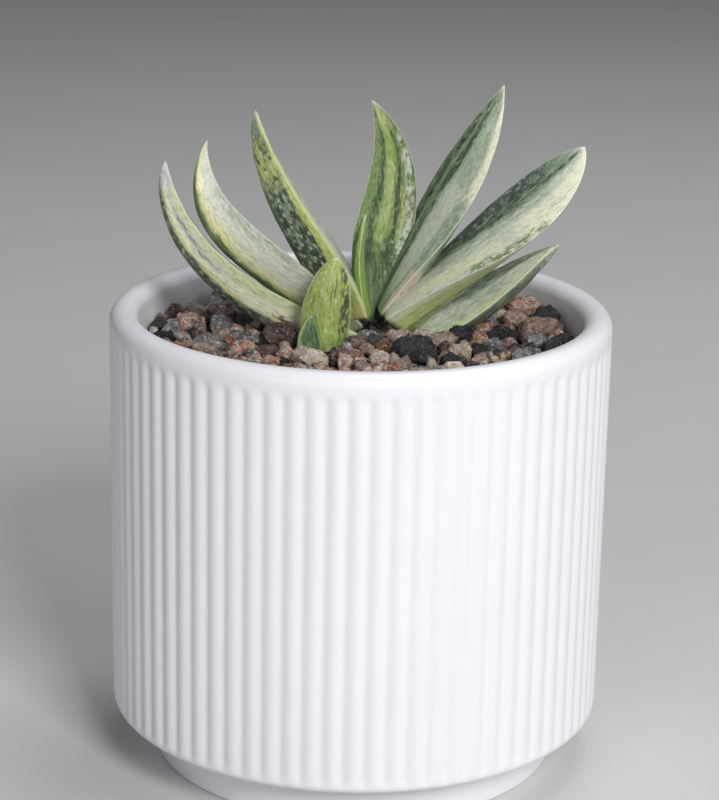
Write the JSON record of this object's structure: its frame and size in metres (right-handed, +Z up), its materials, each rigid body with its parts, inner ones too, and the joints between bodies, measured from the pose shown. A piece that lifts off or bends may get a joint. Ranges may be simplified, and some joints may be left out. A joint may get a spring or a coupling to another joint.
{
  "type": "potted gasteria",
  "caption": "Small variegated gasteria with two fans of thick keeled leaves, in a straight ribbed white ceramic pot topped with loose lava and pumice grit.",
  "frame": {"origin": "centre of the foot's underside, on the pot's axis", "axes": "+Z up; the two rows of leaves spread along X; seen from -Y, with the small offset in front"},
  "size_m": [0.12, 0.12, 0.1634],
  "materials": {
    "white_ceramic": "satin white glaze, thin and even",
    "soil": "dark crumbly potting soil",
    "fine_grit": "mixed fine lava and pumice grit",
    "stem": "fleshy pale stem and roots",
    "cream_leaf": "waxy, cream with a green edge",
    "mottled_leaf": "waxy, dark green with pale flecks",
    "green_leaf": "waxy, green with dark stripes",
    "grey_leaf": "waxy, grey-green and white streaks",
    "young_leaf": "waxy, bright green with pale flecks",
    "orange_lava": "rough, pitted",
    "brown_scoria": "rough, pitted",
    "black_lava": "rough, pitted",
    "pale_pumice": "rough, chalky",
    "tan_pumice": "rough, grainy",
    "grey_pumice": "rough, grainy"
  },
  "bodies": {
    "root": {"pot": "white_ceramic", "potting_soil": "soil", "gravel_bed": "fine_grit", "stem_and_roots": "stem", "leaf_heart": "green_leaf", "leaf_centre": "green_leaf", "leaf_left_inner": "mottled_leaf", "leaf_right_inner": "grey_leaf", "leaf_left_middle": "cream_leaf", "leaf_right_middle": "grey_leaf", "leaf_left_outer": "cream_leaf", "leaf_right_outer": "grey_leaf", "offset_leaf_front": "young_leaf", "offset_leaf_small": "young_leaf", "stone_maroon_scoria": "brown_scoria", "stone_orange_knobbly": "orange_lava", "stone_pale_grey": "grey_pumice", "stone_long_grey": "grey_pumice", "stone_lavender": "grey_pumice", "stone_tan_pink": "tan_pumice", "stone_orange_brown": "orange_lava", "stone_dark_left": "black_lava", "stone_orange_front": "orange_lava", "stone_white_chip": "pale_pumice", "stone_cream_tan": "pale_pumice", "stone_brown_inner": "brown_scoria", "stone_brown_front": "brown_scoria", "stone_bluish_grey": "grey_pumice", "stone_brown_tan": "tan_pumice", "stone_pale_cream": "pale_pumice", "stone_black_lava": "black_lava", "stone_pink_flat": "tan_pumice", "stone_dark_grey": "black_lava", "stone_white_sliver": "pale_pumice", "stone_grey_white": "pale_pumice", "stone_striped_grey": "grey_pumice", "stone_long_dark": "black_lava", "stone_tan_brown": "tan_pumice", "stone_large_tan": "tan_pumice", "stone_orange_back": "orange_lava", "stone_black_round": "black_lava", "stone_dark_pitted": "black_lava", "stone_greenish_dark": "black_lava", "stone_olive_grey": "grey_pumice", "stone_pale_green": "grey_pumice", "stone_small_orange": "orange_lava", "stone_rust_back": "orange_lava", "stone_grey_back": "grey_pumice", "stone_tan_back": "tan_pumice", "stone_tan_near": "tan_pumice", "stone_rust_near": "orange_lava", "stone_grey_near": "grey_pumice"}
  },
  "joints": []
}
